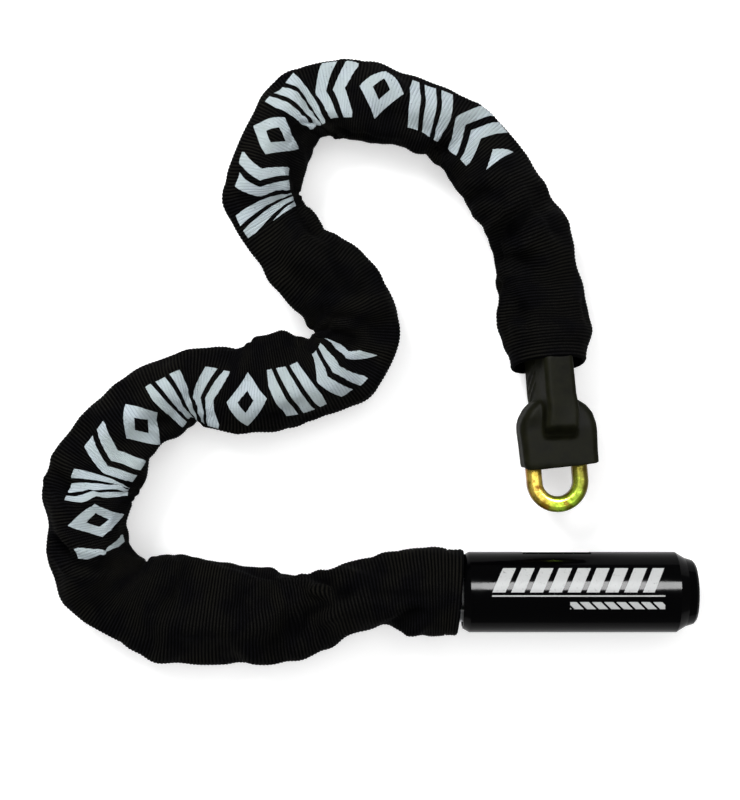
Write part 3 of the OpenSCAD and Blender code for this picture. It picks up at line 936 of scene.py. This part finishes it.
def sleeve_cloth():
    """Black ribbed fabric, light print and painted shade in ribs and folds, all in cloth coordinates."""
    n = Nodes("ribbed_black_fabric")
    place = n.stored("cloth_mm").outputs["Vector"]
    s, t, route_at = n.split(place)
    threads = n.math("SINE", n.times(t, 2 * math.pi / 0.75))
    fuzz = n.noise(place, 1.6, 4.0, 0.65)
    patches = n.noise(place, 0.06, 2.0)
    valley = n.math("ABSOLUTE", n.math("SINE", n.times(s, math.pi / RIB_PITCH)))
    dark = n.mix(n.span(fuzz, 0.3, 0.75), (0.0014, 0.0014, 0.0018), (0.0105, 0.0100, 0.0094))
    dark = n.mix(n.span(patches, 0.45, 0.7, 0.0, 0.5), dark, (0.0110, 0.0104, 0.0068))
    dark = n.mix(n.span(patches, 0.48, 0.36, 0.0, 0.65), dark, (0.0018, 0.0018, 0.0032))
    # Painted shade: valley is 1 on a rib's crest, and the cloth goes black in the rib valleys.
    dark = n.mix(n.span(valley, 0.45, 1.0, 1.0, 0.0), dark, (0.0, 0.0, 0.0001))
    # Painted shade: up to 85 % darker deep in the folds and over the tucked hems.
    painted_shade = n.stored("cloth_painted_shade").outputs["Fac"]
    dark = n.mix(n.times(painted_shade, 0.85), dark, (0.0, 0.0, 0.0002))
    ink = print_mask(n, s, t, route_at)
    pin_holes = n.span(n.noise(place, 0.9, 2.0, 0.8), 0.66, 0.72)
    ink = n.times(ink, n.minus(1.0, n.times(pin_holes, 0.8)))
    # Painted shade on the print too: darker in the rib valleys.
    light = n.mix(n.span(valley, 0.0, 0.55, 0.75, 0.0), (0.46, 0.52, 0.56), (0.20, 0.25, 0.28))
    light = n.mix(n.span(patches, 0.35, 0.65), light, (0.40, 0.46, 0.47))
    n.set(Base_Color=n.mix(ink, dark, light), Roughness=n.span(ink, 0, 1, 0.85, 0.6))
    n.set(Sheen_Weight=0.003, Sheen_Roughness=0.5, Specular_IOR_Level=0.008)
    height = n.plus(n.times(threads, 0.5), n.times(fuzz, 1.2))
    n.set(Normal=n.bump(height, 0.00012, 0.7))
    return n.material


def between(n, value, low, high):
    """1 where low < value < high."""
    above = n.math("GREATER_THAN", value, low)
    return n.times(above, n.math("LESS_THAN", value, high))


def product(n, *masks):
    """All the masks at once."""
    total = masks[0]
    for mask in masks[1:]:
        total = n.times(total, mask)
    return total


def print_mask(n, s, t, route_at):
    """The sleeve's print: two stretches of plain bold diamonds, slanted bars and chevrons."""
    local = n.minus(n.math("MODULO", s, PRINT_CELL), PRINT_CELL / 2)
    from_middle = n.math("ABSOLUTE", local)
    kind = n.math("MODULO", n.math("FLOOR", n.math("DIVIDE", s, PRINT_CELL)), 3.0)
    (first_s, first_shift), (last_s, last_shift) = PRINT_TWIST
    off = n.minus(t, n.span(route_at, first_s, last_s, first_shift, last_shift))
    lateral = n.math("ABSOLUTE", off)
    ring = n.plus(n.times(from_middle, 1.15), n.times(lateral, 0.95))
    diamond = between(n, ring, 5.0, 12.8)
    slant = n.plus(local, n.times(off, 0.3))
    bars = n.math("GREATER_THAN", n.math("PINGPONG", n.plus(slant, 4.0), 4.0), 1.3)
    bars = product(n, bars, n.math("LESS_THAN", n.math("ABSOLUTE", slant), 10.7))
    arrow = n.minus(local, n.times(lateral, 0.55))
    arrow = n.plus(between(n, arrow, -12.0, -5.2), between(n, arrow, -1.2, 5.4))
    arrow = product(n, arrow, n.math("LESS_THAN", from_middle, PRINT_CELL / 2 - 0.8))
    picks = []
    for k, mask in enumerate((diamond, bars, arrow)):
        picks.append(product(n, n.math("COMPARE", kind, float(k), 0.1), mask))
    shape = n.plus(n.plus(picks[0], picks[1]), picks[2])
    band = n.math("LESS_THAN", lateral, PRINT_HALF)
    stretches = [between(n, route_at, low, high) for low, high in PRINT_STRETCHES]
    return product(n, shape, band, n.plus(*stretches))


def gloss_paint():
    """Deep gloss black with a plain light print of slanted bars, a hairline and a row of short blocks."""
    n = Nodes("gloss_black_paint")
    place = n.place()
    x, y, z = n.split(place)
    across = n.minus(y, LOCK_Y * MM)
    above = n.minus(z, AXIS_Z * MM)
    arc = n.times(n.math("ARCTAN2", across, above), LOCK_RADIUS)
    along = n.math("DIVIDE", n.minus(x, LOCK_FACE * MM), MM)
    lean = n.minus(along, n.times(arc, 0.45))
    bars = n.math("LESS_THAN", n.math("MODULO", n.minus(lean, 11.0), 8.0), 5.6)
    bars = product(n, bars, between(n, lean, 11, 80), between(n, arc, 1.9, 12.9))
    line = product(n, between(n, along, 11.8, 85.4), between(n, arc, 0.1, 0.7))
    blocks = n.math("LESS_THAN", n.math("MODULO", n.plus(along, arc), 5.2), 3.9)
    blocks = product(n, blocks, between(n, along, 45, 85.4), between(n, arc, -5.4, -2.2))
    ink = n.math("MINIMUM", n.plus(n.plus(bars, line), blocks), 1.0)
    worn = n.span(n.noise(place, 900, 3.0, 0.7), 0.60, 0.72, 1.0, 0.55)
    ink = n.times(ink, worn)
    haze = n.noise(place, 60, 4.0, 0.6)
    specks = n.span(n.noise(place, 2400, 2.0, 0.5), 0.72, 0.8)
    black = n.mix(n.times(specks, 0.5), (0.0008, 0.0008, 0.001), (0.008, 0.008, 0.008))
    n.set(Base_Color=n.mix(ink, black, (0.50, 0.51, 0.51)))
    rough = n.plus(n.span(haze, 0.35, 0.7, 0.07, 0.16), n.times(ink, 0.25))
    n.set(Roughness=rough, Specular_IOR_Level=0.028)
    n.set(Normal=n.bump(n.noise(place, 160, 2.0, 0.4), 0.00004, 0.5))
    return n.material


def steel(name, base, grain, rough):
    """Bare steel with drawn grain, cloudy tone and small pits."""
    n = Nodes(name)
    place = n.place()
    cloud = n.noise(place, 140, 4.0, 0.6)
    lines = n.noise(n.stretch(place, grain), 1.0, 4.0, 0.7)
    pits = n.span(n.noise(place, 1500, 2.0, 0.5), 0.68, 0.76)
    dark = tuple(c * 0.55 for c in base)
    tone = n.mix(n.span(cloud, 0.3, 0.7), base, tuple(min(c * 1.35, 1) for c in base))
    tone = n.mix(n.span(lines, 0.35, 0.7, 0.0, 0.6), tone, dark)
    n.set(Base_Color=n.mix(n.times(pits, 0.6), tone, (0.09, 0.07, 0.055)), Metallic=1.0)
    drawn = n.span(lines, 0.3, 0.7, rough - 0.06, rough + 0.1)
    n.set(Roughness=n.plus(drawn, n.times(pits, 0.2)))
    n.set(Normal=n.bump(n.minus(lines, pits), 0.00005, 0.6))
    return n.material


def brass():
    """Turned brass with fine lathe marks and a little tarnish."""
    n = Nodes("turned_brass")
    place = n.place()
    marks = n.noise(n.stretch(place, (5200, 200, 200)), 1.0, 3.0, 0.6)
    stain = n.noise(place, 90, 4.0, 0.6)
    tone = n.mix(n.span(stain, 0.42, 0.68), (0.72, 0.52, 0.22), (0.42, 0.27, 0.10))
    n.set(Base_Color=tone, Metallic=1.0, Roughness=n.span(marks, 0.3, 0.7, 0.22, 0.4))
    n.set(Normal=n.bump(marks, 0.00003, 0.6))
    return n.material


def yellow_zinc():
    """Bright yellow-chromate plating, olive, rust and lime clouds, and painted shade on sides and right half.
    """
    n = Nodes("yellow_zinc_plating")
    place = n.place()
    low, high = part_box("link_21")
    middle_x = (low.x + high.x) / 2
    x, y, z = n.split(place)
    cloud = n.noise(place, 110, 4.0, 0.62)
    patch = n.noise(place, 240, 3.0, 0.6)
    grain = n.noise(place, 1500, 3.0, 0.6)
    gold = n.mix(n.span(cloud, 0.42, 0.60), (0.19, 0.12, 0.006), (0.50, 0.36, 0.06))
    gold = n.mix(n.span(patch, 0.52, 0.62, 0.0, 0.9), gold, (0.13, 0.095, 0.006))
    gold = n.mix(n.span(patch, 0.45, 0.36, 0.0, 0.75), gold, (0.36, 0.14, 0.014))
    # Painted shade: the link's right half goes dark olive.
    right = n.span(x, middle_x + 0.001, high.x - 0.004)
    lower = n.span(y, low.y + 0.020, low.y + 0.003)
    gold = n.mix(n.times(right, 0.85), gold, (0.05, 0.053, 0.003))
    aside = n.math("ABSOLUTE", n.minus(x, middle_x + 0.004))
    middle = n.span(aside, 0.001, 0.009, 1.0, 0.0)
    lime = n.times(n.times(middle, lower), n.span(cloud, 0.36, 0.5))
    gold = n.mix(lime, gold, (0.36, 0.66, 0.04))
    # Painted shade: the bar's sides, below its top, go dark brown.
    painted_flank_shade = n.span(z, AXIS_Z * MM + 0.0031, AXIS_Z * MM + 0.0014, 0.0, 0.95)
    gold = n.mix(painted_flank_shade, gold, (0.07, 0.032, 0.005))
    # Painted shade: a brown band along the link's outer left edge.
    edge = n.times(n.span(x, low.x + 0.0028, low.x + 0.0006), 0.85)
    gold = n.mix(edge, gold, (0.42, 0.15, 0.03))
    n.set(Base_Color=gold, Metallic=0.7, Roughness=n.span(patch, 0.3, 0.7, 0.14, 0.34))
    n.set(Specular_IOR_Level=0.3, Normal=n.bump(n.plus(grain, patch), 0.00006, 0.5))
    return n.material


def rubber():
    """Moulded black rubber: matt, softly mottled and a little dusty."""
    n = Nodes("moulded_black_rubber")
    place = n.place()
    mottle = n.noise(place, 130, 4.0, 0.6)
    grain = n.noise(place, 2600, 3.0, 0.6)
    dust = n.span(n.noise(place, 700, 5.0, 0.75), 0.58, 0.72, 0.0, 0.35)
    tone = n.mix(n.span(mottle, 0.3, 0.7), (0.0040, 0.0042, 0.0024), (0.0105, 0.0108, 0.0052))
    n.set(Base_Color=n.mix(dust, tone, (0.018, 0.018, 0.012)))
    n.set(Roughness=n.span(mottle, 0.3, 0.7, 0.44, 0.58), Specular_IOR_Level=0.014)
    n.set(Normal=n.bump(n.plus(grain, mottle), 0.00008, 0.5))
    return n.material


def moulded_plastic():
    """Black moulded plastic with a fine spark-eroded grain."""
    n = Nodes("grained_black_plastic")
    place = n.place()
    grain = n.noise(place, 3200, 3.0, 0.65)
    shade = n.noise(place, 200, 3.0, 0.5)
    n.set(Base_Color=n.mix(n.span(shade, 0.3, 0.7), (0.012, 0.012, 0.013), (0.022, 0.022, 0.024)))
    n.set(Roughness=n.span(grain, 0.3, 0.7, 0.34, 0.5), Normal=n.bump(grain, 0.00006, 0.6))
    return n.material


def make_finishes():
    """One material for each of the record's slots."""
    return {
        "gloss_black": gloss_paint(),
        "hardened_steel": steel("ground_hardened_steel", (0.36, 0.37, 0.39), (3600, 500, 500), 0.26),
        "chain_steel": steel("drawn_chain_steel", (0.27, 0.275, 0.285), (900, 900, 900), 0.34),
        "yellow_zinc": yellow_zinc(),
        "cylinder_brass": brass(),
        "boot_rubber": rubber(),
        "sleeve_fabric": sleeve_cloth(),
        "cover_plastic": moulded_plastic(),
    }


def finish_cad_nodes(finishes):
    """Gives each CAD node the material of the slot that the record names for it."""
    for row in frame["record"]["subparts"]:
        for holder in bpy.data.objects[row["node"]].material_slots:
            holder.material = finishes[row["material_slot"]]


# ---- The stage ----
def make_floor():
    """A pale floor that glows a little."""
    floor = flat_square("floor", FLOOR_HALF)
    n = Nodes("pale_floor")
    n.set(Base_Color=(0.9, 0.9, 0.9), Roughness=0.7, Specular_IOR_Level=0.2)
    n.set(Emission_Color=(1.0, 1.0, 1.0), Emission_Strength=FLOOR_GLOW)
    floor.data.materials.append(n.material)


def area_light(name, location, target, size, power):
    """A lamp that lights a target and leaves no reflection of its own."""
    data = bpy.data.lights.new(name, "AREA")
    data.shape = "RECTANGLE"
    data.size, data.size_y = size
    data.energy = power
    lamp = add_object(name, data)
    lamp.location = location
    lamp.rotation_euler = (Vector(target) - Vector(location)).to_track_quat("-Z", "Y").to_euler()
    lamp.visible_glossy = False
    return lamp


def make_lights():
    """Soft light from all round and above, a key light, and a lamp that shows only as a reflection."""
    world = bpy.data.worlds.new("studio")
    world.use_nodes = True
    background = world.node_tree.nodes["Background"]
    background.inputs["Color"].default_value = (1, 1, 1, 1)
    background.inputs["Strength"].default_value = 0.4
    bpy.context.scene.world = world
    area_light("ceiling", (0, 0, 1.6), (0, 0, 0), (2.2, 2.2), 14)
    area_light("key", (-0.55, 0.75, 0.9), (0, 0, 0), (0.5, 0.5), 11)
    streak = area_light("streak", (0.24, 0.345, 1.0), (0.09, -0.1, 0.03), (0.36, 0.46), 74)
    streak.data.shape = "ELLIPSE"
    streak.visible_diffuse = False
    streak.visible_glossy = True


def make_camera():
    """A camera straight above the chain."""
    data = bpy.data.cameras.new("camera")
    camera = add_object("camera", data)
    camera.location = (*CAMERA_PLACE, AXIS_Z * MM + CAMERA_HEIGHT)
    data.lens = data.sensor_width * CAMERA_HEIGHT / PICTURE_HEIGHT
    bpy.context.scene.camera = camera
    bpy.context.scene.view_settings.view_transform = "Standard"


finishes = make_finishes()
make_sleeve(finishes["sleeve_fabric"])
finish_cad_nodes(finishes)
make_boot(finishes["boot_rubber"])
make_floor()
make_lights()
make_camera()
